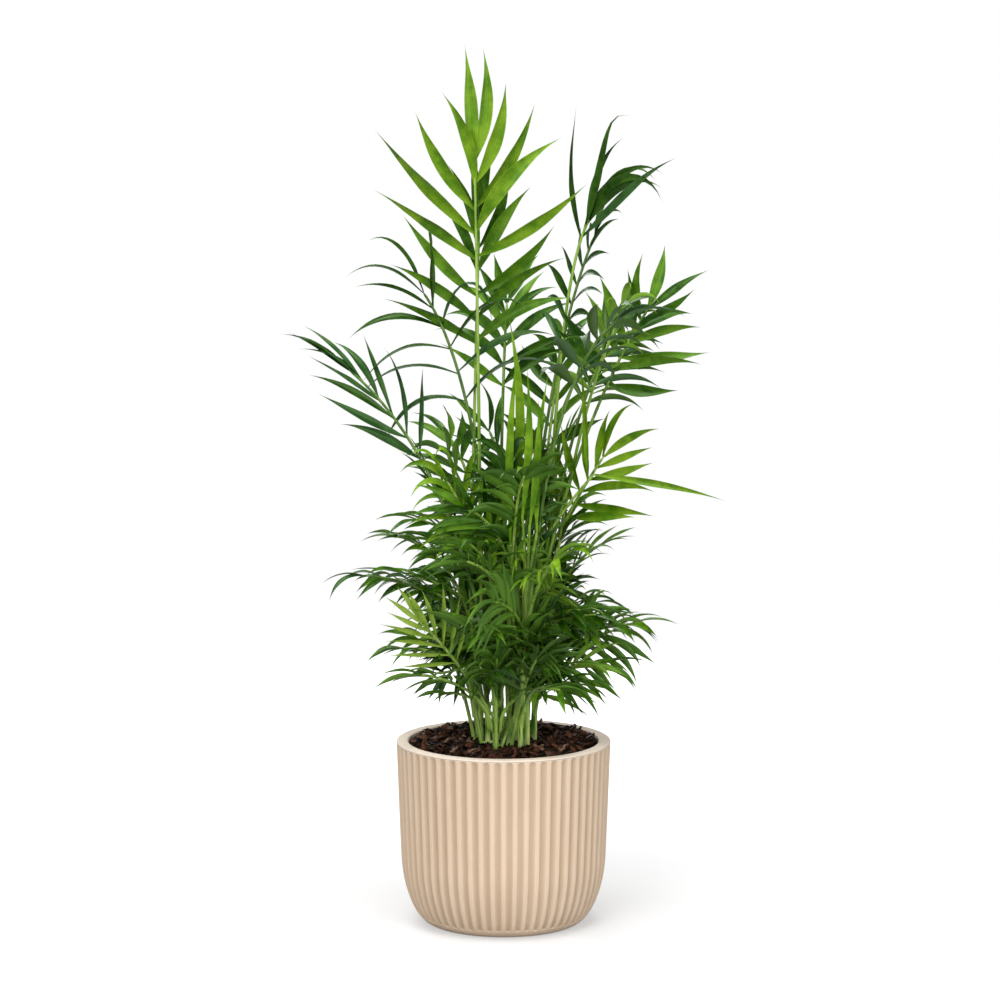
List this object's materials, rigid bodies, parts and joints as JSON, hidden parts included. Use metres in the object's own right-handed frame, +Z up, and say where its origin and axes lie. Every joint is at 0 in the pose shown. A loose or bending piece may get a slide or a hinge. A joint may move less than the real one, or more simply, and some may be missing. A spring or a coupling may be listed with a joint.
{
  "type": "potted parlour palm",
  "caption": "Parlour palm with a clump of slender stems and feathery arching fronds, standing in a beige ceramic pot with vertical flutes.",
  "frame": {"origin": "centre of the pot's flat underside, on the surface it stands on", "axes": "+Z up along the pot's axis, -Y towards the pictured side, +X to the right in the picture"},
  "size_m": [0.2979, 0.2366, 0.6131],
  "materials": {
    "pot_ceramic": "matte unglazed stoneware, warm beige",
    "potting_mix": "rough bark chips and coir, dark brown",
    "stem_green": "satin living stem, pale green",
    "frond_young": "satin young leaf, yellow green",
    "frond_green": "satin leaf, mid green",
    "frond_deep": "satin leaf, deep blue green"
  },
  "bodies": {
    "root": {"frond_back": "frond_green", "frond_back_left": "frond_green", "frond_back_right": "frond_green", "frond_broad_right": "frond_green", "frond_dark_right": "frond_deep", "frond_far_left": "frond_deep", "frond_front": "frond_green", "frond_grey_right": "frond_deep", "frond_high_left": "frond_deep", "frond_high_right": "frond_deep", "frond_light_right": "frond_young", "frond_long_right": "frond_young", "frond_low_far_left": "frond_deep", "frond_low_far_right": "frond_deep", "frond_low_front": "frond_green", "frond_low_left": "frond_green", "frond_low_right": "frond_green", "frond_lowest_left": "frond_green", "frond_lowest_right": "frond_green", "frond_mid_front": "frond_green", "frond_mid_left": "frond_green", "frond_mid_right": "frond_green", "frond_middle_1": "frond_green", "frond_middle_2": "frond_green", "frond_middle_3": "frond_green", "frond_middle_4": "frond_green", "frond_middle_5": "frond_green", "frond_middle_6": "frond_green", "frond_middle_7": "frond_green", "frond_pale_fan": "frond_young", "frond_skirt_1": "frond_green", "frond_skirt_2": "frond_green", "frond_skirt_3": "frond_green", "frond_skirt_4": "frond_green", "frond_skirt_5": "frond_green", "frond_skirt_6": "frond_green", "frond_skirt_7": "frond_green", "frond_top": "frond_young", "frond_top_behind": "frond_green", "frond_upper_1": "frond_green", "frond_upper_2": "frond_green", "frond_upper_3": "frond_green", "frond_upper_4": "frond_green", "frond_upper_5": "frond_green", "frond_upper_6": "frond_green", "frond_upper_left": "frond_green", "pot": "pot_ceramic", "soil": "potting_mix", "stem_1": "stem_green", "stem_10": "stem_green", "stem_11": "stem_green", "stem_12": "stem_green", "stem_2": "stem_green", "stem_3": "stem_green", "stem_4": "stem_green", "stem_5": "stem_green", "stem_6": "stem_green", "stem_7": "stem_green", "stem_8": "stem_green", "stem_9": "stem_green"}
  },
  "joints": []
}
